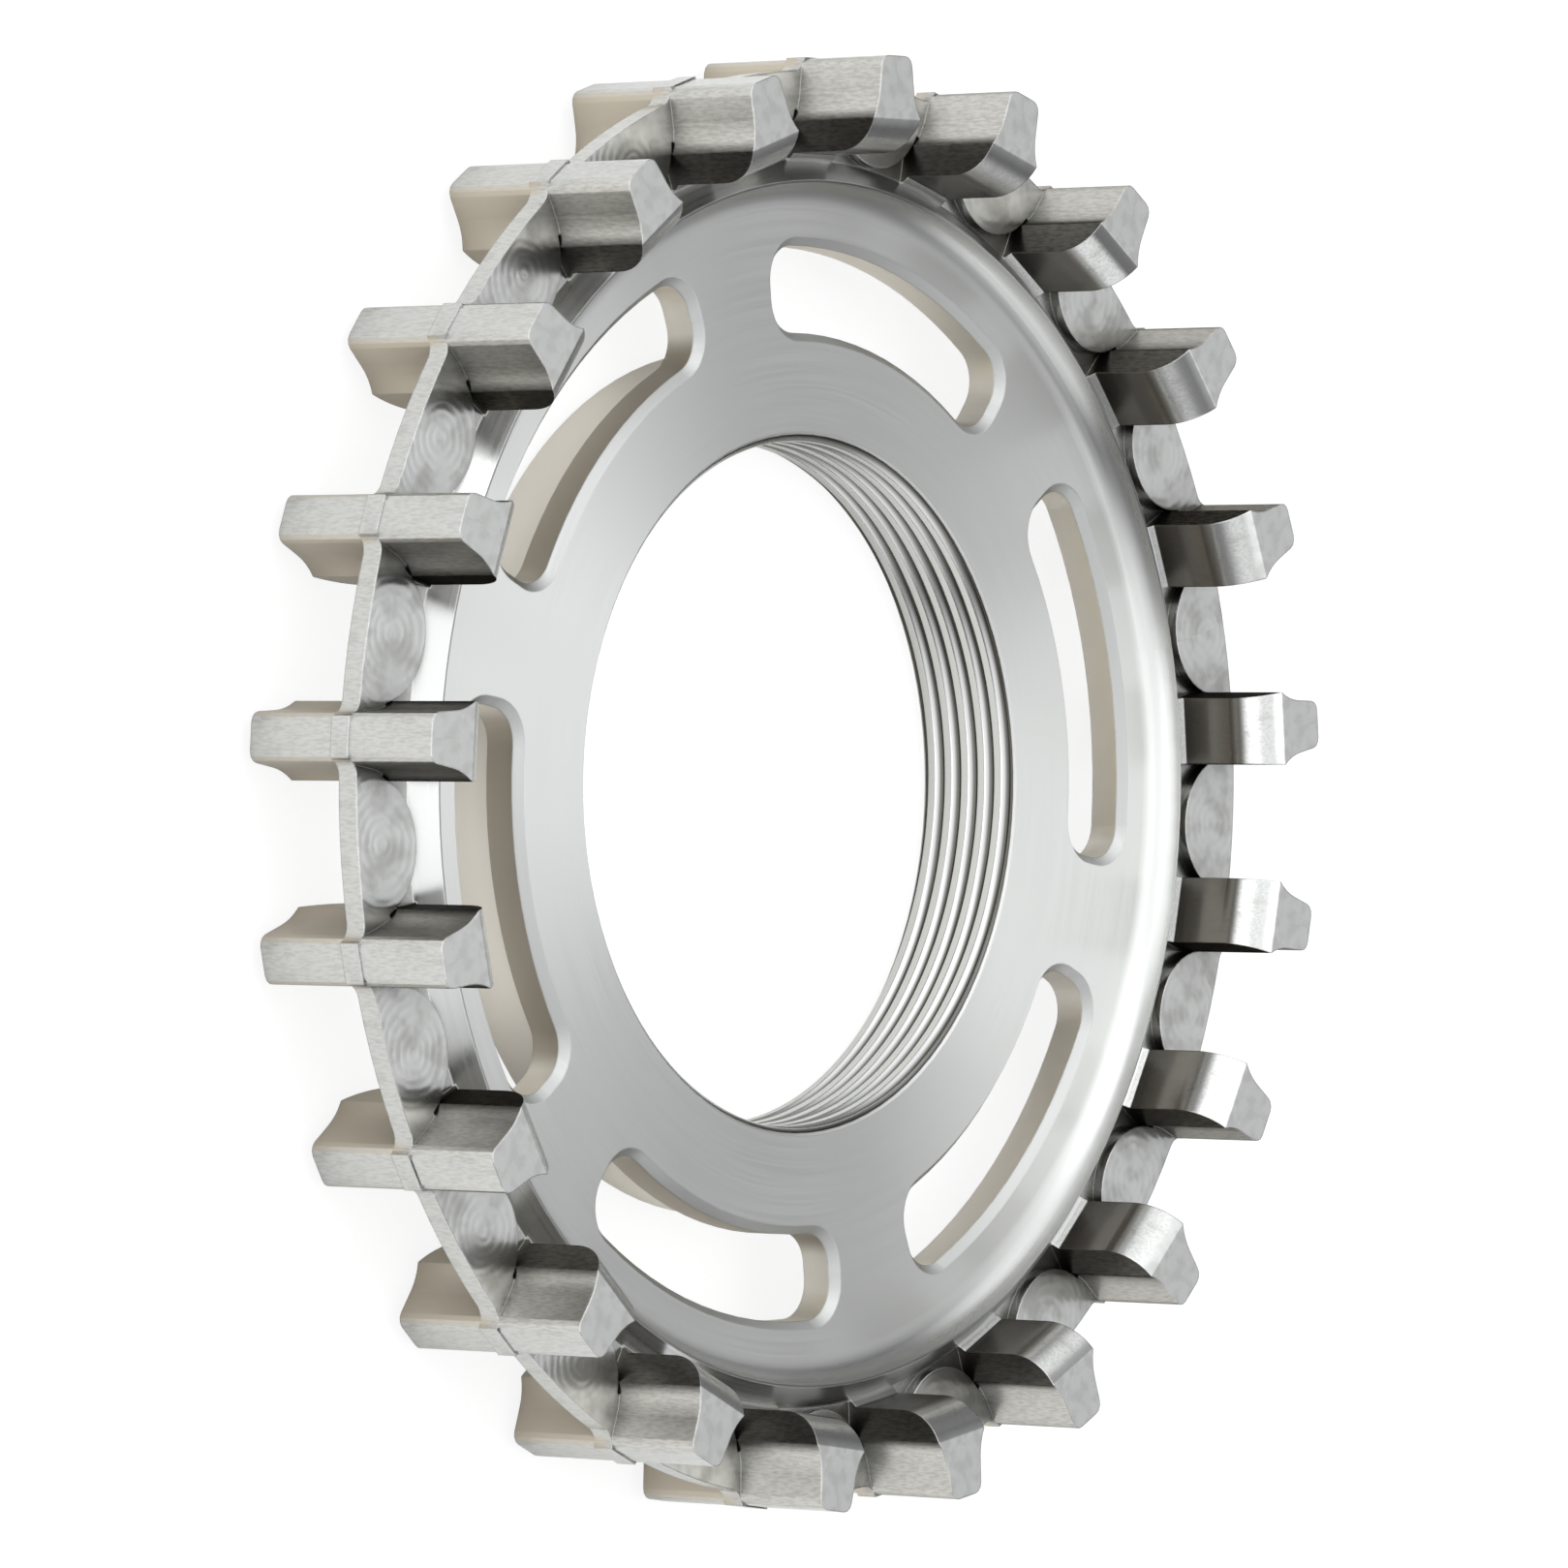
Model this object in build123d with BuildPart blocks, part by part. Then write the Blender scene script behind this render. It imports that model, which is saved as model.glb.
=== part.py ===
# Rear belt sprocket of a bicycle: a ring of teeth split by a centre fin, on a slotted web with a threaded hub.
# Millimetres. It lies flat on the hub's back face, axis +Z, face side up, with tooth 0 on +X.
import math
import os

from build123d import *

os.makedirs("parts", exist_ok=True)

# Belt and teeth
tooth_count = 21
belt_pitch = 11.0
tip_below_pitch_line = 0.765
tooth_height = 4.7
tooth_width = 11.2
tip_land_half_width = 0.69
tip_round = 0.55
tip_round_steps = 3
flank_lean = 6.4
neck_depth = 1.7
crease_depth = 3.1
crease_half_width = 1.9
root_half_width = 1.72
inner_corner_radius = 2.4
inner_corner_height = 2.26

# Centre fin between the teeth, with a round-ended panel on its face side in each gap
fin_thickness = 1.1
fin_below_tip = 0.6
fin_proud_of_tip = 0.07
fin_rise_radius = 0.8
fin_rise_half_width = 1.0
panel_arc_radius = 3.5
panel_inside_teeth = 0.15
panel_ring_below_tip = 2.5

# Rim ring: a cove on the inside, a slope down to the channel under the teeth on the outside
rim_inside_teeth = 1.3
rim_height = 1.35
rim_land = 0.12
cove_width = 1.45
cove_steps = 4
channel_bevel = 0.45

# Web and its slots
web_thickness = 2.0
slot_count = 6
slot_hub_gap = 0.85
slot_rim_gap = 1.65
slot_angle = 44.8
slot_corner_share = 0.41
slot_chamfer = 0.42

# Hub and threaded bore
hub_length = 6.1
hub_share = 0.38
hub_back_chamfer = 0.5
bore_radius = 17.4
bore_face_chamfer = 0.12
bore_back_chamfer = 0.4
middle_above_face = 0.3

# Heights and radii that follow
pitch_angle = 360 / tooth_count
tip_radius = tooth_count * belt_pitch / (2 * math.pi) - tip_below_pitch_line
underside_radius = tip_radius - tooth_height
rim_radius = underside_radius - rim_inside_teeth
cove_start = rim_radius - rim_land - cove_width
hub_radius = bore_radius + hub_share * (cove_start - bore_radius)
slot_inner_radius = hub_radius + slot_hub_gap
slot_outer_radius = cove_start - slot_rim_gap
slot_corner_radius = slot_corner_share * (slot_outer_radius - slot_inner_radius)
face_z = hub_length
web_back_z = face_z - web_thickness
middle_z = face_z + middle_above_face
slope_foot_radius = rim_radius + rim_height - middle_above_face
tooth_back_z = middle_z - tooth_width / 2
tooth_face_z = middle_z + tooth_width / 2
fin_back_z = middle_z - fin_thickness / 2
fin_radius = tip_radius - fin_below_tip
panel_centre_radius = underside_radius - panel_inside_teeth + panel_arc_radius
panel_ring_radius = tip_radius - panel_ring_below_tip
overcut = 1.0
root_overlap = 0.1
tooth_turns = [math.radians(i * pitch_angle) for i in range(tooth_count)]
tooth_planes = [Plane((0, 0, 0), (math.cos(t), math.sin(t), 0), (math.sin(t), -math.cos(t), 0)) for t in tooth_turns]

# Section of one tooth across the belt, symmetrical about +X
with BuildSketch() as tooth_section:
    with BuildLine() as tooth_line:
        lean = math.radians(flank_lean)
        tip_turns = [(math.radians(90) - lean) * i / tip_round_steps for i in range(tip_round_steps + 1)]
        tip_corner = [
            (tip_radius - tip_round * (1 - math.cos(t)), tip_land_half_width + tip_round * math.sin(t))
            for t in tip_turns
        ]
        neck_radius = tip_radius - neck_depth
        neck = (neck_radius, tip_corner[-1][1] + (tip_corner[-1][0] - neck_radius) * math.tan(lean))
        crease = (tip_radius - crease_depth, crease_half_width)
        root = (underside_radius, root_half_width)
        Polyline((tip_radius, 0), *tip_corner, neck)
        TangentArc(neck, crease, tangent=(-1, math.tan(lean)))
        Line(crease, root)
        Polyline(root, (underside_radius - overcut, root_half_width), (underside_radius - overcut, 0))
        mirror(about=Plane.XZ)
    make_face()

# Concave rise of the fin up to one tooth's tip, which it crosses as a slightly proud band
rise_height = fin_below_tip + fin_proud_of_tip
rise_top = tip_radius + fin_proud_of_tip
rise_run = math.sqrt(fin_rise_radius**2 - (fin_rise_radius - rise_height) ** 2)
rise_foot = fin_rise_half_width + rise_run
rise_angle = math.radians(90) - math.acos(1 - rise_height / fin_rise_radius) / 2
rise_mid = (
    fin_radius + fin_rise_radius - fin_rise_radius * math.sin(rise_angle),
    rise_foot - fin_rise_radius * math.cos(rise_angle),
)
foot_radius = math.sqrt(fin_radius**2 - rise_foot**2)
with BuildSketch() as fin_rise:
    with BuildLine() as rise_line:
        rise = ThreePointArc((rise_top, fin_rise_half_width), rise_mid, (foot_radius, rise_foot))
        Line(rise @ 1, (fin_radius - overcut, rise_foot))
        Line((fin_radius - overcut, rise_foot), (fin_radius - overcut, 0))
        Line((rise_top, 0), (rise_top, fin_rise_half_width))
        mirror(about=Plane.XZ)
    make_face()

# Fin panel of one gap
with BuildSketch() as panel_section:
    with Locations((panel_centre_radius, 0)):
        Circle(panel_arc_radius)
    Circle(fin_radius, mode=Mode.INTERSECT)

# One slot of the web, symmetrical about +X
with BuildSketch() as slot_section:
    with BuildLine() as slot_line:
        half = math.radians(slot_angle / 2)
        inner_end = (slot_inner_radius * math.cos(half), slot_inner_radius * math.sin(half))
        outer_end = (slot_outer_radius * math.cos(half), slot_outer_radius * math.sin(half))
        ThreePointArc((inner_end[0], -inner_end[1]), (slot_inner_radius, 0), inner_end)
        Line(inner_end, outer_end)
        ThreePointArc(outer_end, (slot_outer_radius, 0), (outer_end[0], -outer_end[1]))
        Line((outer_end[0], -outer_end[1]), (inner_end[0], -inner_end[1]))
    make_face()
    fillet(slot_section.vertices(), slot_corner_radius)

with BuildPart() as sprocket:
    # Teeth over the whole width
    with BuildSketch(Plane.XY.offset(tooth_back_z)):
        with PolarLocations(0, tooth_count):
            add(tooth_section.sketch)
    extrude(amount=tooth_width)

    # Milled out underneath them: a round inner corner at both ends and a bevel at the channel floor.
    corner_run = math.sqrt(inner_corner_radius**2 - inner_corner_height**2)
    corner_centre = underside_radius + inner_corner_radius
    corner_half = math.asin(inner_corner_height / inner_corner_radius) / 2
    corner_mid_run = inner_corner_radius * math.cos(corner_half)
    corner_mid_rise = inner_corner_radius * math.sin(corner_half)
    low_corner = tooth_back_z + inner_corner_height
    high_corner = tooth_face_z - inner_corner_height
    inside = underside_radius - 2 * overcut
    with BuildSketch(*tooth_planes):
        with BuildLine():
            Line((inside, tooth_back_z), (corner_centre - corner_run, tooth_back_z))
            ThreePointArc(
                (corner_centre - corner_run, tooth_back_z),
                (corner_centre - corner_mid_run, low_corner - corner_mid_rise),
                (underside_radius, low_corner),
            )
            Polyline(
                (underside_radius, low_corner),
                (underside_radius, web_back_z + overcut),
                (inside, web_back_z + overcut),
                (inside, tooth_back_z),
            )
        make_face()
        with BuildLine():
            Polyline(
                (inside, middle_z),
                (underside_radius - channel_bevel, middle_z),
                (underside_radius, middle_z + channel_bevel),
                (underside_radius, high_corner),
            )
            ThreePointArc(
                (underside_radius, high_corner),
                (corner_centre - corner_mid_run, high_corner + corner_mid_rise),
                (corner_centre - corner_run, tooth_face_z),
            )
            Polyline((corner_centre - corner_run, tooth_face_z), (inside, tooth_face_z), (inside, middle_z))
        make_face()
    extrude(amount=crease_half_width + overcut / 2, both=True, mode=Mode.SUBTRACT)

    # Centre fin: a plain plate on the back side, and on the face side a ring that reaches inward as the panels
    with BuildSketch(Plane.XY.offset(fin_back_z)):
        Circle(fin_radius)
        Circle(underside_radius, mode=Mode.SUBTRACT)
        with PolarLocations(0, tooth_count):
            add(fin_rise.sketch)
    extrude(amount=middle_z - fin_back_z)
    with BuildSketch(Plane.XY.offset(middle_z)):
        Circle(fin_radius)
        Circle(panel_ring_radius, mode=Mode.SUBTRACT)
        with PolarLocations(0, tooth_count, start_angle=pitch_angle / 2):
            add(panel_section.sketch)
        with PolarLocations(0, tooth_count):
            add(fin_rise.sketch)
    extrude(amount=fin_thickness / 2)

    # Hub, web, rim and the ring that carries the teeth
    with BuildSketch(Plane.XZ):
        with BuildLine():
            cove_turn = 2 * math.atan(rim_height / cove_width)
            cove_radius = cove_width / math.sin(cove_turn)
            cove_turns = [cove_turn * (1 - i / cove_steps) for i in range(cove_steps + 1)]
            cove = [
                (cove_start + cove_radius * math.sin(t), face_z + cove_radius * (1 - math.cos(t)))
                for t in cove_turns
            ]
            Polyline(
                (bore_radius, bore_back_chamfer),
                (bore_radius + bore_back_chamfer, 0),
                (hub_radius - hub_back_chamfer, 0),
                (hub_radius, hub_back_chamfer),
                (hub_radius, web_back_z),
                (underside_radius + root_overlap, web_back_z),
                (underside_radius + root_overlap, middle_z),
                (slope_foot_radius, middle_z),
                (rim_radius, face_z + rim_height),
                *cove,
                (bore_radius + bore_face_chamfer, face_z),
                (bore_radius, face_z - bore_face_chamfer),
                (bore_radius, bore_back_chamfer),
            )
        make_face()
    revolve(axis=Axis.Z)

    # Slots through the web
    with BuildSketch(Plane.XY.offset(web_back_z - overcut)):
        with PolarLocations(0, slot_count):
            add(slot_section.sketch)
    extrude(amount=web_thickness + 2 * overcut, mode=Mode.SUBTRACT)
    face_edges = sprocket.edges().filter_by_position(Axis.Z, face_z - 0.01, face_z + 0.01)
    slot_edges = face_edges.filter_by(
        lambda e: slot_inner_radius - 0.1 < math.hypot((e @ 0.5).X, (e @ 0.5).Y) < slot_outer_radius + 0.1
    )
    chamfer(slot_edges, slot_chamfer)

sprocket.part.label = "sprocket"
export_step(sprocket.part, "parts/sprocket.step")
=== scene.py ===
"""Belt drive sprocket of a bicycle: finish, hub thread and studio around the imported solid."""

import math

import bpy
from mathutils import Matrix, Vector


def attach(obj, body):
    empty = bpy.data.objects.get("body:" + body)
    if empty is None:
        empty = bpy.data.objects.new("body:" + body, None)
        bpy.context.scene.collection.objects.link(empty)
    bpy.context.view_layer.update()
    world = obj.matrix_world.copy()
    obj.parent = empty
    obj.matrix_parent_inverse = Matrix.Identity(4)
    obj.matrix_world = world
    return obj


bl_info = {
    "name": "Belt Drive Sprocket",
    "version": (1, 0, 0),
    "blender": (4, 5, 0),
    "location": "3D View > Sidebar > Sprocket",
    "description": "Machined steel, hub thread and a pale studio for a belt drive sprocket that lies flat",
    "category": "Object",
}

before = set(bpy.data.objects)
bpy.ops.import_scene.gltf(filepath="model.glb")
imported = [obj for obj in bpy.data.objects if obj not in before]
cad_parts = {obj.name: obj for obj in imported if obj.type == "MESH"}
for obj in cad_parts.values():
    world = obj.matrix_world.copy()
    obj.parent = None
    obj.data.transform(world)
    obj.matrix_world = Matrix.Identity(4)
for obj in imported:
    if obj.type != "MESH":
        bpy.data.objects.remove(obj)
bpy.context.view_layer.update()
MM = 0.001
BODY = "root"
NODE = "sprocket"
AXIS = (0.0, 0.0, 1.0)

# Radii and heights that the solid has, in mm
TOOTH_COUNT = 21
PITCH_ANGLE = math.tau / TOOTH_COUNT
FACE_Z = 6.1
MIDDLE_Z = 6.4
PANEL_Z = 6.95
PANEL_CENTRE_RADIUS = 33.6
BORE_RADIUS = 17.4
BORE_FACE_CHAMFER = 0.12
BORE_BACK_CHAMFER = 0.4
COVE_START = 28.43
COVE_RADIUS = 1.454
RIM_CREST = 29.97

# Radii in mm at which one finish gives way to the next
HUB_WALL_START = 21.4
SLOTS_START = 22.0
SLOTS_END = 27.8
TEETH_START = 31.1
FLANK_FOOT_END = 33.2

# How far in mm to either side of such a radius or height the finishes run into each other
TEETH_BLEND = 0.03
PANEL_BLEND = 0.06
FLANK_FOOT_BLEND = 0.3
FIN_BLEND = 0.5

# Sizes of the marks, in mm, and of the breaks in the lathe's and the thread's rings, in radians
MARK_HEIGHT = 0.02
LINE_LENGTH = 0.4545
CLOUD_SIZE = 1.6
PATCH_SIZE = (1.0, 1.0, 2.0)
THREAD_MARK = 0.0714
RING_BREAK = 0.5
THREAD_BREAK = 0.333

# Tones of the surfaces, sRGB hex; several are painted light and shade. Flanks of the face side have a grain of
# two tones, and a foot darkened with painted shade.
FLANK_GRAIN = ("#cccac4", "#b6b4ae")
# Painted shade: the face-side flank's two grain tones, darkened at its foot near the root
FLANK_FOOT_GRAIN_AND_SHADE = ("#63615c", "#504e4a")
# Painted shade: a dark tint on the grazing reflections of the face-side flanks
FLANK_GRAZING_SHADE = "#3c3b38"
# Painted reflection: a pale warm tone on the back half of the flanks
BACK_FLANK_REFLECTION = "#c4bbab"
# Painted shade on the undersides of the teeth
UNDERSIDE_SHADE = "#69645d"
# Painted reflection of the pale room on the slot walls and the hub's wall; the next tone is painted shade on
# the slot walls that face outwards
WALL_REFLECTION = "#f0ebe1"
SHADED_WALL = "#b9b1a3"
# Painted shade that dims the slot chamfers
SLOT_CHAMFER_SHADE = "#b8b8b5"
# Painted shade in the recesses round the teeth
RECESS_SHADE = "#43423e"
PAPER = "#f2f1ee"
ROOM = "#f7f9fd"
WHITE = "#ffffff"

# Settings that many nodes share
EASED = {"interpolation_type": "SMOOTHSTEP"}
COLOURS = {"data_type": "RGBA", "output": 2}
VECTORS = {"data_type": "VECTOR", "output": 1}

# Soft lights round the sprocket. Each: direction in the picture's own frame (right, up, towards the face
# side), cosines off it where the light starts and is full, and what it adds.
SOFTBOXES = (
    ((-0.55, 0.15, 0.80), 0.55, 0.85, 1.3),
    ((-0.97, 0.08, 0.22), 0.78, 0.93, 1.2),
    ((-0.05, 0.80, 0.60), 0.75, 0.93, 1.4),
    ((0.10, -0.95, 0.28), 0.86, 0.95, 1.2),
    ((0.30, 0.05, 0.95), 0.86, 0.97, 1.4),
    ((0.76, -0.02, 0.63), 0.83, 0.985, 0.66),
)
SURROUND_BASE = 0.2

# The paper's own white, and the shares of it that the camera and the steel's gloss see
PAPER_GLOW = 1.12
CAMERA_SHARE = 0.76
GLOSS_SHARE = 0.10


class SteelSettings(bpy.types.PropertyGroup):
    colour: bpy.props.StringProperty(
        name="Steel colour", description="sRGB hex of the bare steel", default="#c9c9c5"
    )
    stain: bpy.props.StringProperty(
        name="Stain colour", description="sRGB hex of the duller patches", default="#8f8e88"
    )
    # Painted shade in the bottoms of the thread's grooves
    groove_shade: bpy.props.StringProperty(
        name="Oil colour", description="sRGB hex of the oily groove bottoms", default="#514f4a"
    )
    turned_roughness: bpy.props.FloatProperty(
        name="Turned roughness", description="Of the web, faced on a lathe", default=0.38, min=0.0, max=1.0
    )
    rim_roughness: bpy.props.FloatProperty(
        name="Rim roughness", description="Of the cove and the slope", default=0.30, min=0.0, max=1.0
    )
    milled_roughness: bpy.props.FloatProperty(
        name="Milled roughness", description="Of the teeth and the fin", default=0.22, min=0.0, max=1.0
    )
    thread_roughness: bpy.props.FloatProperty(
        name="Thread roughness", description="Of the hub thread", default=0.26, min=0.0, max=1.0
    )
    turning_mark: bpy.props.FloatProperty(
        name="Turning mark", description="Spacing of the lathe's rings, mm", default=0.16, min=0.02
    )
    milling_mark: bpy.props.FloatProperty(
        name="Milling mark", description="Spacing of the lines along the teeth, mm", default=0.11, min=0.02
    )
    swirl_mark: bpy.props.FloatProperty(
        name="Swirl mark", description="Spacing of the rings in the fin panels, mm", default=0.5, min=0.05
    )
    # Reach of the painted shade in the recesses round the teeth
    recess_reach: bpy.props.FloatProperty(
        name="Recess reach", description="Of the residue in corners, m", default=0.003, min=0.0, unit="LENGTH"
    )
    edge_radius: bpy.props.FloatProperty(
        name="Edge radius", description="Of the broken edges, m", default=0.00011, min=0.0, unit="LENGTH"
    )


class ThreadSettings(bpy.types.PropertyGroup):
    pitch: bpy.props.FloatProperty(name="Pitch", description="24 turns to the inch, mm", default=25.4 / 24)
    depth: bpy.props.FloatProperty(name="Depth", description="Groove bottom to ridge top, mm", default=0.32)
    groove_gap: bpy.props.FloatProperty(
        name="Groove gap", description="Metal between the groove bottom and the bore wall, mm", default=0.03
    )
    ridge_land: bpy.props.FloatProperty(
        name="Ridge land", description="Share of the pitch that is flat on the ridge", default=0.40
    )
    groove_land: bpy.props.FloatProperty(
        name="Groove land", description="Share of the pitch that is flat in the groove", default=0.08
    )
    seat: bpy.props.FloatProperty(
        name="Seat", description="Depth of the strip's back in the bore wall, mm", default=0.06
    )
    columns: bpy.props.IntProperty(name="Columns", description="Steps round the bore", default=288)
    rows: bpy.props.IntProperty(name="Rows", description="Steps to one pitch", default=16)


class StudioSettings(bpy.types.PropertyGroup):
    yaw: bpy.props.FloatProperty(
        name="Yaw", description="Of the view off the axis", default=math.radians(51.9), subtype="ANGLE"
    )
    pitch: bpy.props.FloatProperty(
        name="Pitch", description="Of the view", default=math.radians(0.55), subtype="ANGLE"
    )
    turn: bpy.props.FloatProperty(
        name="Turn",
        description="From the picture's right to the row's +X",
        default=math.radians(-193.19),
        subtype="ANGLE",
    )
    distance: bpy.props.FloatProperty(name="Distance", description="Camera to sprocket, mm", default=510.9)
    shift_right: bpy.props.FloatProperty(
        name="Shift right", description="Sprocket off the view's middle, mm", default=1.31
    )
    shift_down: bpy.props.FloatProperty(
        name="Shift down", description="Sprocket off the view's middle, mm", default=-0.01
    )
    focal_length: bpy.props.FloatProperty(
        name="Focal length", description="On a 36 mm sensor, mm", default=235.7
    )
    floor_half: bpy.props.FloatProperty(
        name="Floor half width", description="Of the square of paper, m", default=1.5, unit="LENGTH"
    )


def linear(hex_colour):
    """sRGB hex to linear RGBA."""
    parts = [int(hex_colour[i : i + 2], 16) / 255 for i in (1, 3, 5)]
    return [c / 12.92 if c <= 0.04045 else ((c + 0.055) / 1.055) ** 2.4 for c in parts] + [1.0]


def add(tree, kind, inputs=None, output=0, **settings):
    """Adds one node and gives an output of it. Inputs go by number or name: a socket to link, or a value."""
    node = tree.nodes.new("ShaderNode" + kind)
    for key, value in settings.items():
        setattr(node, key, value)
    for key, value in (inputs or {}).items():
        if isinstance(value, bpy.types.NodeSocket):
            tree.links.new(value, node.inputs[key])
        else:
            node.inputs[key].default_value = value
    return node.outputs[output] if node.outputs else None


def new_material(name):
    material = bpy.data.materials.new(name)
    material.use_nodes = True
    material.node_tree.nodes.clear()
    return material


def overlap(tree, *shares):
    """Where all of several shares hold: their product."""
    result = shares[0]
    for share in shares[1:]:
        result = add(tree, "Math", {0: result, 1: share}, operation="MULTIPLY")
    return result


def grain(tree, place, spacing, detail):
    """Noise whose marks are a spacing apart along each of a place's three coordinates."""
    place = add(tree, "CombineXYZ", dict(enumerate(place)))
    place = add(tree, "VectorMath", {0: place, 1: spacing}, operation="DIVIDE")
    return add(tree, "TexNoise", {"Vector": place, "Scale": 1.0, "Detail": detail})


def turned_place(tree):
    """A point's radius, angle and height on the sprocket, in mm and radians, and which way is outwards."""
    x, y, z = add(tree, "SeparateXYZ", {0: add(tree, "TexCoord", output="Object")}).node.outputs
    level = add(tree, "CombineXYZ", {0: x, 1: y})
    radius = add(tree, "VectorMath", {0: level}, operation="LENGTH", output="Value")
    return {
        "radius": add(tree, "Math", {0: radius, 1: 1 / MM}, operation="MULTIPLY"),
        "angle": add(tree, "Math", {0: y, 1: x}, operation="ARCTAN2"),
        "height": add(tree, "Math", {0: z, 1: 1 / MM}, operation="MULTIPLY"),
        "outward": add(tree, "VectorMath", {0: level}, operation="NORMALIZE"),
    }


def surface_zones(tree, place):
    """How far a point belongs to each kind of surface, from 0 to 1, by its place and facing. A facing's limits
    are cosines."""
    radius, height, outward = place["radius"], place["height"], place["outward"]
    normal = add(tree, "NewGeometry", output="Normal")
    around = add(tree, "VectorMath", {0: AXIS, 1: outward}, operation="CROSS_PRODUCT")
    facing_out, facing_up, facing_round = (
        add(tree, "VectorMath", {0: normal, 1: way}, operation="DOT_PRODUCT", output="Value")
        for way in (outward, AXIS, around)
    )
    level = add(tree, "Math", {0: facing_up}, operation="ABSOLUTE")
    flat = add(tree, "MapRange", {0: level, 1: 0.75, 2: 0.95}, **EASED)
    not_flat = add(tree, "Math", {0: 1.0, 1: flat}, operation="SUBTRACT")
    not_wall = add(tree, "MapRange", {0: level, 1: 0.2, 2: 0.5}, **EASED)
    wall = add(tree, "Math", {0: 1.0, 1: not_wall}, operation="SUBTRACT")

    # The teeth and the fin
    low, high = TEETH_START - TEETH_BLEND, TEETH_START + TEETH_BLEND
    outside = add(tree, "MapRange", {0: radius, 1: low, 2: high}, **EASED)
    at_panels = add(tree, "Math", {0: height, 1: PANEL_Z, 2: PANEL_BLEND}, operation="COMPARE")
    panel = overlap(tree, outside, flat, at_panels)
    not_panel = add(tree, "Math", {0: 1.0, 1: panel}, operation="SUBTRACT")
    tooth = overlap(tree, outside, not_flat)
    sideways = add(tree, "Math", {0: facing_round}, operation="ABSOLUTE")
    flank = overlap(tree, tooth, add(tree, "MapRange", {0: sideways, 1: 0.45, 2: 0.8}, **EASED))
    inward = add(tree, "MapRange", {0: facing_out, 1: -0.92, 2: -0.99}, **EASED)
    low, high = MIDDLE_Z - FIN_BLEND, MIDDLE_Z + FIN_BLEND
    face_half = add(tree, "MapRange", {0: height, 1: low, 2: high}, **EASED)

    # The slots and the hub's wall, which shows through them; their walls get a painted reflection, the
    # outward-facing ones painted shade
    past_hub_back = add(tree, "Math", {0: radius, 1: HUB_WALL_START}, operation="GREATER_THAN")
    before_rim = add(tree, "Math", {0: radius, 1: SLOTS_END}, operation="LESS_THAN")
    below_face = add(tree, "Math", {0: height, 1: FACE_Z}, operation="LESS_THAN")
    at_slots = overlap(tree, past_hub_back, before_rim, below_face)
    wall_painted_light = overlap(tree, wall, at_slots)
    past_hub = add(tree, "Math", {0: radius, 1: SLOTS_START}, operation="GREATER_THAN")
    away = add(tree, "MapRange", {0: facing_out, 1: 0.2, 2: 0.8}, **EASED)

    # The cove
    past_web = add(tree, "Math", {0: radius, 1: COVE_START - 0.02}, operation="GREATER_THAN")
    before_crest = add(tree, "Math", {0: radius, 1: RIM_CREST}, operation="LESS_THAN")
    on_face = add(tree, "Math", {0: height, 1: FACE_Z - 0.01}, operation="GREATER_THAN")
    leaning_in = add(tree, "Math", {0: facing_out, 1: 0.1}, operation="LESS_THAN")
    return {
        "normal": normal,
        "flat": flat,
        "outside": outside,
        "panel": panel,
        "end_face": overlap(tree, outside, flat, not_panel),
        "tooth": tooth,
        "flank": flank,
        "face_half": face_half,
        "face_flank": overlap(tree, flank, face_half),
        "underside": overlap(tree, tooth, inward),
        "wall_painted_light": wall_painted_light,
        "shaded_wall": overlap(tree, wall_painted_light, past_hub, away),
        "slot_chamfer": overlap(tree, at_slots, not_wall, not_flat),
        "cove": overlap(tree, past_web, before_crest, on_face, leaning_in),
    }


def tool_marks(tree, place, steel):
    """What the tools left: the lathe's rings, lines along the teeth, the end mill's swirls and clouds in the
    fin panels, and uneven patches."""
    radius, angle, height = place["radius"], place["angle"], place["height"]
    waver, swirl_share = 7.0, 1.1
    ring_size = (steel.turning_mark, RING_BREAK, 1.0)
    line_size = (steel.milling_mark, steel.milling_mark, LINE_LENGTH)
    turns = add(tree, "Math", {0: angle, 1: PITCH_ANGLE}, operation="DIVIDE")
    gap = add(tree, "Math", {0: turns}, operation="FLOOR")
    off_middle = add(tree, "Math", {0: turns}, operation="FRACT")
    off_middle = add(tree, "Math", {0: off_middle, 1: 0.5}, operation="SUBTRACT")
    off_middle = add(tree, "Math", {0: off_middle, 1: PITCH_ANGLE}, operation="MULTIPLY")
    across = add(tree, "Math", {0: radius, 1: off_middle}, operation="MULTIPLY")
    along = add(tree, "Math", {0: radius, 1: PANEL_CENTRE_RADIUS}, operation="SUBTRACT")
    clouds = grain(tree, (along, across, gap), (CLOUD_SIZE, CLOUD_SIZE, 1.0), 2.0)

    # The swirls are rings about each panel's middle, which waver with the clouds
    reach = add(tree, "CombineXYZ", {0: along, 1: across})
    reach = add(tree, "VectorMath", {0: reach}, operation="LENGTH", output="Value")
    phase = add(tree, "Math", {0: reach, 1: math.tau / steel.swirl_mark}, operation="MULTIPLY")
    phase = add(tree, "Math", {0: clouds, 1: waver, 2: phase}, operation="MULTIPLY_ADD")
    swirls = add(tree, "Math", {0: phase}, operation="SINE")
    return {
        "rings": grain(tree, (radius, angle, height), ring_size, 3.0),
        "lines": grain(tree, (across, radius, height), line_size, 3.0),
        "swirls": add(tree, "Math", {0: swirls, 1: swirl_share}, operation="MULTIPLY"),
        "clouds": clouds,
        "patches": grain(tree, (radius, across, height), PATCH_SIZE, 4.0),
    }


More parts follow.
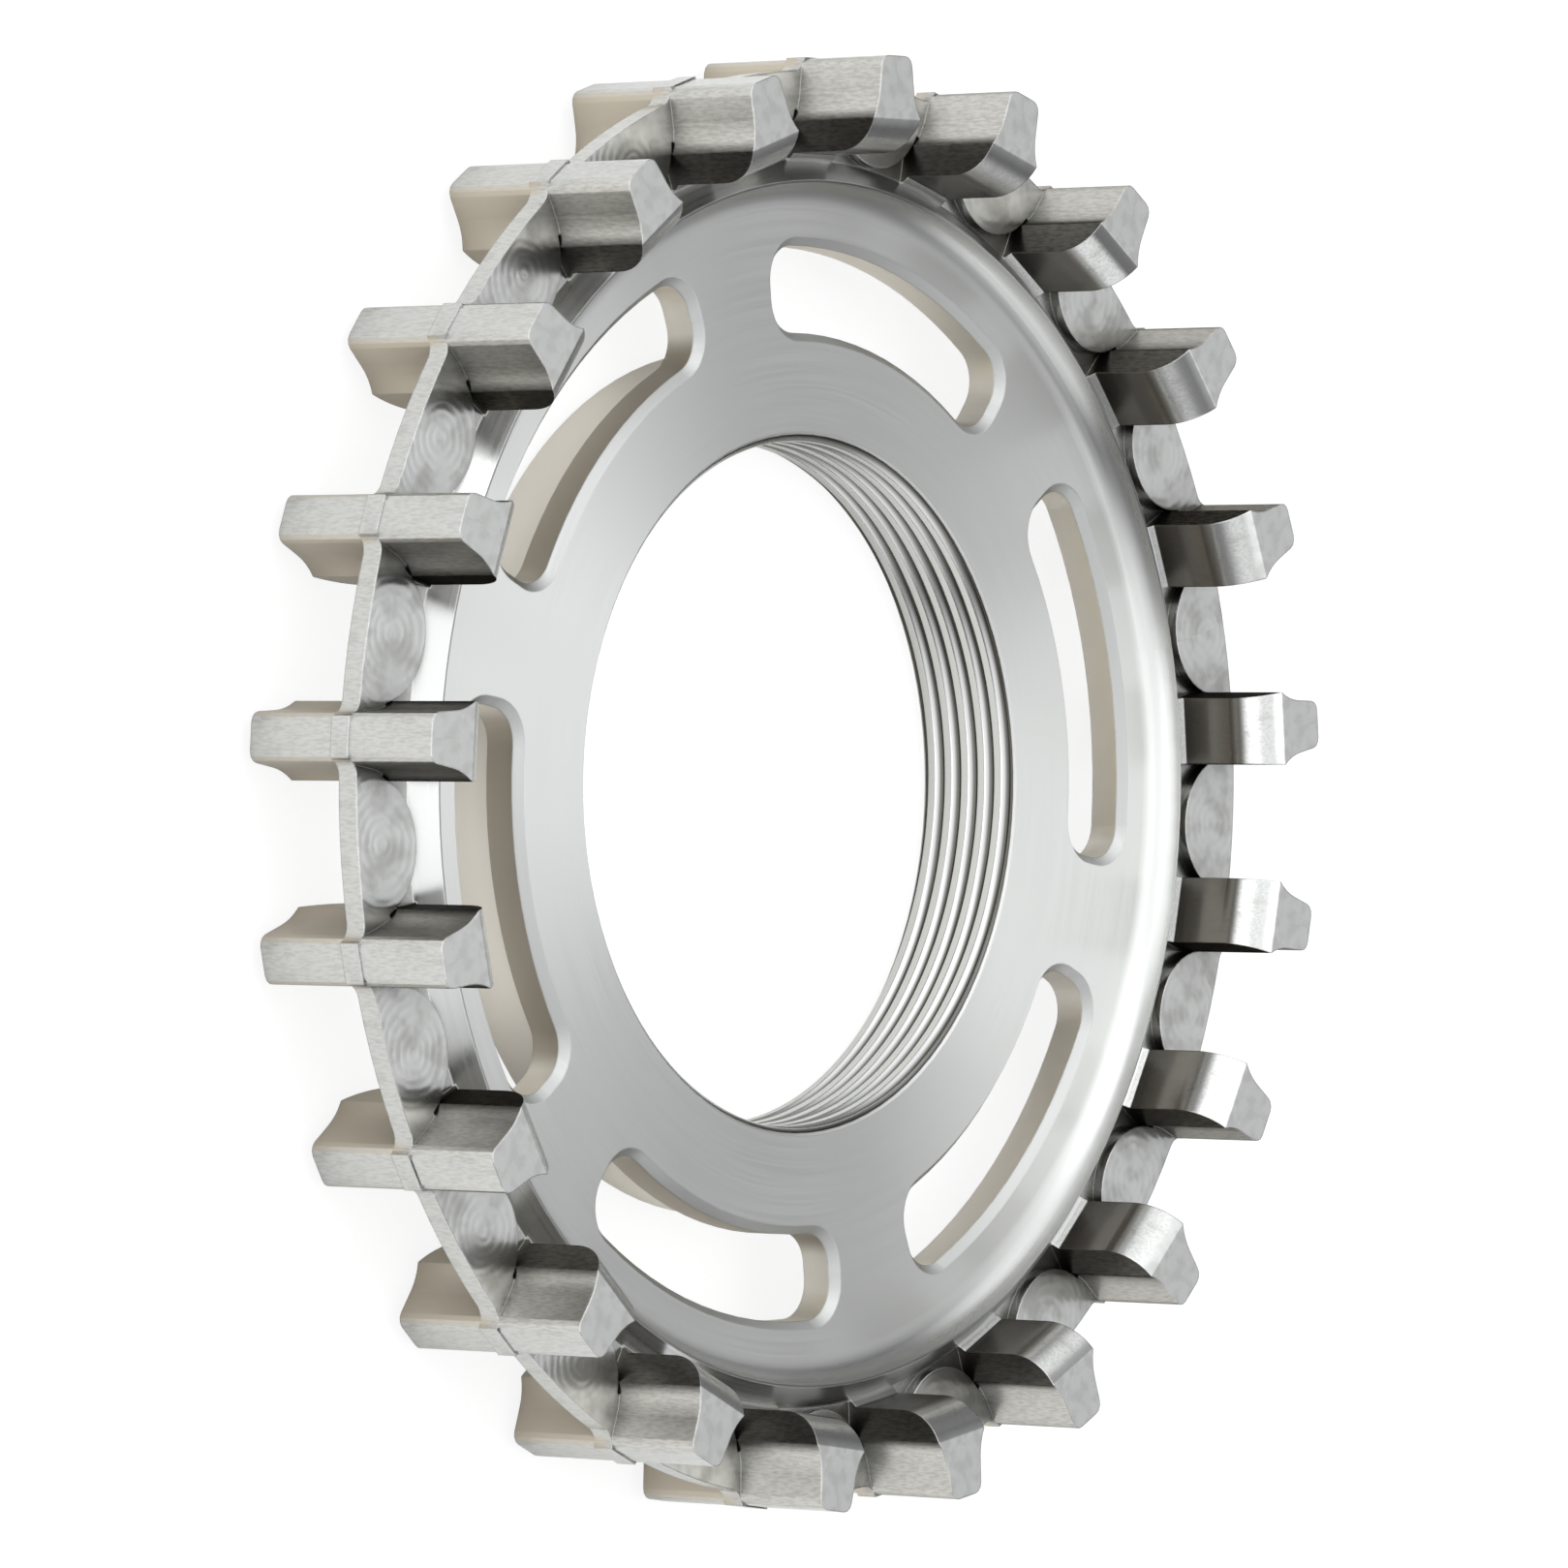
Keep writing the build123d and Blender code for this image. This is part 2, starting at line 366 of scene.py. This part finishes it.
def dull_share(tree, zones, marks):
    """How stained a point is. Each row: where, after which marks, at which of their values the stain starts
    and is full, and how much it is then."""
    dull = 0.0
    for zone, mark, start, full, most in (
        ("tooth", "patches", 0.5, 0.75, 0.3),
        ("tooth", "lines", 0.35, 0.75, 0.32),
        ("panel", "clouds", 0.38, 0.7, 0.6),
        ("end_face", "patches", 0.4, 0.65, 0.3),
    ):
        stain = add(tree, "MapRange", {0: marks[mark], 1: start, 2: full, 4: most}, **EASED)
        dull = add(tree, "Math", {0: zones[zone], 1: stain, 2: dull}, operation="MULTIPLY_ADD")
    return dull


def flank_colour(tree, place, zones, marks):
    """Grained on the face half of a tooth, with painted shade at the foot; a pale painted reflection on the
    back half.
    """
    low, high = FLANK_FOOT_END - FLANK_FOOT_BLEND, FLANK_FOOT_END + FLANK_FOOT_BLEND
    foot = add(tree, "MapRange", {0: place["radius"], 1: low, 2: high, 3: 1.0, 4: 0.0}, **EASED)
    bright, dark = (
        add(tree, "Mix", {0: foot, 6: linear(upper), 7: linear(lower)}, **COLOURS)
        for upper, lower in zip(FLANK_GRAIN, FLANK_FOOT_GRAIN_AND_SHADE)
    )
    streaks = add(tree, "MapRange", {0: marks["lines"], 1: 0.35, 2: 0.7}, **EASED)
    grained = add(tree, "Mix", {0: streaks, 6: bright, 7: dark}, **COLOURS)
    return add(tree, "Mix", {0: zones["face_half"], 6: linear(BACK_FLANK_REFLECTION), 7: grained}, **COLOURS)


def steel_colour(tree, place, zones, marks, dull, steel):
    """Bare steel with its stains, painted shade on the flank feet, the undersides, the slot chamfers, the
    outward slot walls and the recesses round the teeth, and a painted reflection on the back flanks and the
    other slot walls.
    """
    # Painted shade in the recesses round the teeth, darkest where the ambient occlusion is
    open_share = add(tree, "AmbientOcclusion", {"Distance": steel.recess_reach}, samples=3, output="AO")
    recess_shading = add(tree, "MapRange", {0: open_share, 1: 0.15, 2: 0.8, 3: 0.85, 4: 0.0}, **EASED)
    colour = add(tree, "Mix", {0: dull, 6: linear(steel.colour), 7: linear(steel.stain)}, **COLOURS)
    # The flanks' grain with painted shade and reflection, then painted shade and painted reflection on the
    # other surfaces
    for share, tone in (
        (zones["flank"], flank_colour(tree, place, zones, marks)),
        (overlap(tree, zones["underside"], 0.9), linear(UNDERSIDE_SHADE)),
        (zones["wall_painted_light"], linear(WALL_REFLECTION)),
        (zones["shaded_wall"], linear(SHADED_WALL)),
        (zones["slot_chamfer"], linear(SLOT_CHAMFER_SHADE)),
        (overlap(tree, recess_shading, zones["outside"]), linear(RECESS_SHADE)),
    ):
        colour = add(tree, "Mix", {0: share, 6: colour, 7: tone}, **COLOURS)
    return colour


def steel_roughness(tree, place, zones, marks, dull, steel):
    """It passes from the web's to the rim's in the cove's first millimetre, and the lathe's rings vary both.
    Their noise is 0.5 on the whole, so half of what they add comes off first."""
    rings_add, wear_adds = 0.22, 0.12
    web, rim = (value - rings_add / 2 for value in (steel.turned_roughness, steel.rim_roughness))
    low, high = COVE_START + 0.1, COVE_START + 1.0
    turned = add(tree, "MapRange", {0: place["radius"], 1: low, 2: high, 3: web, 4: rim}, **EASED)
    turned = add(tree, "Math", {0: marks["rings"], 1: rings_add, 2: turned}, operation="MULTIPLY_ADD")
    roughness = add(tree, "Mix", {0: zones["outside"], 2: turned, 3: steel.milled_roughness})
    worn = add(tree, "Math", {0: dull, 1: zones["flank"]}, operation="MAXIMUM")
    return add(tree, "Math", {0: worn, 1: wear_adds, 2: roughness}, operation="MULTIPLY_ADD")


def cove_normal(tree, place):
    """Of one smooth curve up to the rim's crest, which the solid has as four cones."""
    lean = add(tree, "MapRange", {0: place["radius"], 1: COVE_START, 2: COVE_START + COVE_RADIUS})
    square = add(tree, "Math", {0: lean, 1: lean}, operation="MULTIPLY")
    rise = add(tree, "Math", {0: 1.0, 1: square}, operation="SUBTRACT")
    rise = add(tree, "Math", {0: rise}, operation="SQRT")
    inward = add(tree, "Math", {0: lean, 1: -1.0}, operation="MULTIPLY")
    inward = add(tree, "VectorMath", {0: place["outward"], "Scale": inward}, operation="SCALE")
    return add(tree, "VectorMath", {0: inward, 1: add(tree, "CombineXYZ", {2: rise})}, operation="ADD")


def steel_normal(tree, place, zones, marks, steel):
    """Broken edges, the cove's curve and the tool marks on both."""
    height = add(tree, "Mix", {0: zones["tooth"], 2: marks["rings"], 3: marks["lines"]})
    height = add(tree, "Mix", {0: zones["panel"], 2: height, 3: marks["swirls"]})
    edges = add(tree, "Bevel", {"Radius": steel.edge_radius}, samples=4)
    shape = add(tree, "Mix", {0: zones["cove"], 4: edges, 5: cove_normal(tree, place)}, **VECTORS)
    bump = {"Height": height, "Strength": 0.10, "Distance": MARK_HEIGHT * MM, "Normal": shape}
    return add(tree, "Bump", bump)


def tool_direction(tree, place, zones):
    """Across the tool's lines: outwards on all that was turned, and level along the walls and the teeth."""
    on_rim = add(tree, "Math", {0: place["radius"], 1: SLOTS_END}, operation="GREATER_THAN")
    inside = add(tree, "Math", {0: 1.0, 1: zones["outside"]}, operation="SUBTRACT")
    turned = add(tree, "Math", {0: zones["flat"], 1: overlap(tree, on_rim, inside)}, operation="MAXIMUM")
    turned = add(tree, "Math", {0: turned, 1: 0.5}, operation="GREATER_THAN")
    level = add(tree, "VectorMath", {0: zones["normal"], 1: AXIS}, operation="CROSS_PRODUCT")
    return add(tree, "Mix", {0: turned, 4: level, 5: place["outward"]}, **VECTORS)


def machined_steel():
    """Bare machined steel. The lathe's rings stretch the web's highlights into bright and grey sectors, fine
    lines along the teeth make them satin, the cutter leaves their flanks grainy, painted shade darkens the
    flanks' feet and tints their face-side reflections dark, and the end mill leaves cloudy swirls on the fin
    panels."""
    steel = bpy.context.scene.sprocket_steel
    material = new_material("machined_steel")
    tree = material.node_tree
    place = turned_place(tree)
    zones = surface_zones(tree, place)
    marks = tool_marks(tree, place, steel)
    dull = dull_share(tree, zones, marks)
    # Painted shade: the face-side flanks' reflections get a dark tint
    grazing_shade = {0: zones["face_flank"], 6: linear(WHITE), 7: linear(FLANK_GRAZING_SHADE)}
    surface = {
        "Base Color": steel_colour(tree, place, zones, marks, dull, steel),
        "Metallic": 1.0,
        "Roughness": steel_roughness(tree, place, zones, marks, dull, steel),
        "Specular Tint": add(tree, "Mix", grazing_shade, **COLOURS),
        "Anisotropic": add(tree, "Mix", {0: zones["outside"], 2: 0.9, 3: 0.35}),
        "Normal": steel_normal(tree, place, zones, marks, steel),
        "Tangent": tool_direction(tree, place, zones),
    }
    add(tree, "OutputMaterial", {"Surface": add(tree, "BsdfPrincipled", surface)})
    return material


def thread_steel():
    """Cut thread steel. Bright on the ridges and darkened with painted shade in the grooves, so every turn
    draws a line.
    """
    steel = bpy.context.scene.sprocket_steel
    thread = bpy.context.scene.sprocket_thread
    material = new_material("cut_thread_steel")
    tree = material.node_tree
    place = turned_place(tree)
    ring_place = (place["height"], place["angle"], place["radius"])
    marks = grain(tree, ring_place, (THREAD_MARK, THREAD_BREAK, 1.0), 2.0)
    root = BORE_RADIUS - thread.groove_gap
    low, high = root - thread.depth * 0.75, root - 0.02
    # Painted shade towards the groove bottoms
    groove = add(tree, "MapRange", {0: place["radius"], 1: low, 2: high}, **EASED)
    surface = {
        "Base Color": add(tree, "Mix", {0: groove, 6: linear(steel.colour), 7: linear(steel.groove_shade)}, **COLOURS),
        "Metallic": 1.0,
        "Roughness": steel.thread_roughness,
        "Normal": add(tree, "Bump", {"Height": marks, "Strength": 0.1, "Distance": MARK_HEIGHT * MM}),
    }
    add(tree, "OutputMaterial", {"Surface": add(tree, "BsdfPrincipled", surface)})
    return material


def white_paper():
    """Matt white paper. The camera sees it almost plain white, with the sprocket's shadow on it, and the
    steel mirrors it as it is lit."""
    material = new_material("matt_white_paper")
    tree = material.node_tree
    ray = add(tree, "LightPath").node.outputs
    paper = add(tree, "BsdfDiffuse", {"Color": linear(PAPER)})
    white = add(tree, "Emission", {"Color": linear(WHITE), "Strength": PAPER_GLOW})
    seen = add(tree, "Math", {0: ray["Is Camera Ray"], 1: CAMERA_SHARE}, operation="MULTIPLY")
    seen = add(tree, "Mix", {0: ray["Is Glossy Ray"], 2: seen, 3: GLOSS_SHARE})
    add(tree, "OutputMaterial", {"Surface": add(tree, "MixShader", {0: seen, 1: paper, 2: white})})
    return material


def softbox_surround(turn):
    """A pale room with soft lights over the face side, dim at the horizon. The camera sees plain white."""
    world = bpy.data.worlds.new("studio_surround")
    world.use_nodes = True
    tree = world.node_tree
    tree.nodes.clear()
    toward = add(tree, "TexCoord", output="Generated")
    strength = SURROUND_BASE
    for direction, start, full, gain in SOFTBOXES:
        axis = (turn @ Vector(direction)).normalized()
        along = add(tree, "VectorMath", {0: toward, 1: axis}, operation="DOT_PRODUCT", output="Value")
        light = add(tree, "MapRange", {0: along, 1: start, 2: full, 4: gain}, **EASED)
        strength = add(tree, "Math", {0: light, 1: strength}, operation="ADD")
    room = add(tree, "Background", {"Color": linear(ROOM), "Strength": strength})
    white = add(tree, "Background", {"Color": linear(WHITE), "Strength": 1.0})
    camera_ray = add(tree, "LightPath", output="Is Camera Ray")
    add(tree, "OutputWorld", {"Surface": add(tree, "MixShader", {0: camera_ray, 1: room, 2: white})})
    return world


def view_rows(setup):
    """The camera's right, down and ahead as rows, in the picture's frame of the sprocket."""
    across, ahead = math.cos(setup.yaw), math.sin(setup.yaw)
    level = Matrix(((across, 0, ahead), (0, -1, 0), (ahead, 0, -across)))
    return Matrix.Rotation(setup.pitch, 3, "X") @ level


def photograph_camera(setup, turn):
    """The camera where the photograph was taken from."""
    rows = view_rows(setup)
    offset = Vector((setup.shift_right, setup.shift_down, setup.distance))
    place = turn @ -(rows.transposed() @ offset) + Vector((0, 0, MIDDLE_Z))
    right, down, ahead = (turn @ Vector(r) for r in rows)
    pose = Matrix((right, -down, -ahead)).transposed().to_4x4()
    pose.translation = place * MM
    data = bpy.data.cameras.new("camera")
    data.lens = setup.focal_length
    data.sensor_width = 36
    data.clip_start = 0.01
    camera = bpy.data.objects.new("camera", data)
    camera.matrix_world = pose
    return camera


def ridge_height(share, thread):
    """Height of the thread above its groove bottom at a share of the pitch, 0 to 1."""
    slope = (1 - thread.ridge_land - thread.groove_land) / 2
    off_ridge = abs(share - 0.5) - thread.ridge_land / 2
    return thread.depth * min(1.0, max(0.0, 1 - off_ridge / slope))


def thread_mesh(thread):
    """A closed strip on the bore wall: its back lies in the wall, its front has the right-hand ridge."""
    low, high = BORE_BACK_CHAMFER, FACE_Z - BORE_FACE_CHAMFER
    steps = math.ceil((high - low) / thread.pitch * thread.rows)
    columns = thread.columns
    root = BORE_RADIUS - thread.groove_gap
    front, back = [], []
    for row in range(steps + 1):
        z = low + (high - low) * row / steps
        for column in range(columns):
            turn = math.tau * column / columns
            share = (z / thread.pitch - turn / math.tau) % 1.0
            # Both ends are countersunk at 45 degrees
            run_out = min(z - low, high - z)
            radius = max(root - ridge_height(share, thread), root - run_out)
            front.append((radius * math.cos(turn) * MM, radius * math.sin(turn) * MM, z * MM))
            wall = BORE_RADIUS + (0.0 if row in (0, steps) else thread.seat)
            back.append((wall * math.cos(turn) * MM, wall * math.sin(turn) * MM, z * MM))
    offset = len(front)
    faces = []
    for row in range(steps):
        for column in range(columns):
            near, far = row * columns, (row + 1) * columns
            following = (column + 1) % columns
            faces.append((near + column, far + column, far + following, near + following))
            near, far = near + offset, far + offset
            faces.append((near + following, far + following, far + column, near + column))
    top = steps * columns
    for column in range(columns):
        following = (column + 1) % columns
        faces.append((column, following, offset + following, offset + column))
        faces.append((top + following, top + column, offset + top + column, offset + top + following))
    mesh = bpy.data.meshes.new("hub_thread")
    mesh.from_pydata(front + back, [], faces)
    mesh.shade_smooth()
    return mesh


class SPROCKET_OT_finish(bpy.types.Operator):
    """Gives the solid its machined steel finish"""

    bl_idname = "sprocket.finish"
    bl_label = "Machined Steel Finish"

    def execute(self, context):
        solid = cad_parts[NODE]
        solid.data.materials.clear()
        solid.data.materials.append(machined_steel())
        return {"FINISHED"}


class SPROCKET_OT_thread(bpy.types.Operator):
    """Cuts the hub thread: one right-hand helical ridge on the bore wall"""

    bl_idname = "sprocket.thread"
    bl_label = "Hub Thread"

    def execute(self, context):
        mesh = thread_mesh(context.scene.sprocket_thread)
        mesh.materials.append(thread_steel())
        piece = bpy.data.objects.new("hub_thread", mesh)
        context.scene.collection.objects.link(piece)
        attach(piece, BODY)
        return {"FINISHED"}


class SPROCKET_OT_studio(bpy.types.Operator):
    """Adds the floor, the soft lights, the white surround and the camera"""

    bl_idname = "sprocket.studio"
    bl_label = "Studio and Camera"

    def execute(self, context):
        scene = context.scene
        setup = scene.sprocket_studio
        half = setup.floor_half
        corners = [(-half, -half, 0), (half, -half, 0), (half, half, 0), (-half, half, 0)]
        mesh = bpy.data.meshes.new("studio_floor")
        mesh.from_pydata(corners, [], [(0, 1, 2, 3)])
        mesh.materials.append(white_paper())
        floor = bpy.data.objects.new("studio_floor", mesh)
        scene.collection.objects.link(floor)

        turn = Matrix.Rotation(setup.turn, 3, "Z")
        scene.world = softbox_surround(turn)
        camera = photograph_camera(setup, turn)
        scene.collection.objects.link(camera)
        scene.camera = camera
        scene.view_settings.view_transform = "Standard"
        return {"FINISHED"}


class SPROCKET_PT_panel(bpy.types.Panel):
    bl_label = "Sprocket"
    bl_idname = "SPROCKET_PT_panel"
    bl_space_type = "VIEW_3D"
    bl_region_type = "UI"
    bl_category = "Sprocket"

    def draw(self, context):
        for name, settings in SETTINGS.items():
            for key in settings.__annotations__:
                self.layout.prop(getattr(context.scene, name), key)
        for operator in OPERATORS:
            self.layout.operator(operator.bl_idname)


OPERATORS = (SPROCKET_OT_finish, SPROCKET_OT_thread, SPROCKET_OT_studio)
SETTINGS = {
    "sprocket_steel": SteelSettings,
    "sprocket_thread": ThreadSettings,
    "sprocket_studio": StudioSettings,
}


def register():
    for cls in (*SETTINGS.values(), *OPERATORS, SPROCKET_PT_panel):
        bpy.utils.register_class(cls)
    for name, cls in SETTINGS.items():
        setattr(bpy.types.Scene, name, bpy.props.PointerProperty(type=cls))


def unregister():
    for name in SETTINGS:
        delattr(bpy.types.Scene, name)
    for cls in (SPROCKET_PT_panel, *reversed(OPERATORS), *reversed(SETTINGS.values())):
        bpy.utils.unregister_class(cls)


def main():
    register()
    bpy.ops.sprocket.finish()
    bpy.ops.sprocket.thread()
    bpy.ops.sprocket.studio()


if __name__ == "__main__":
    main()
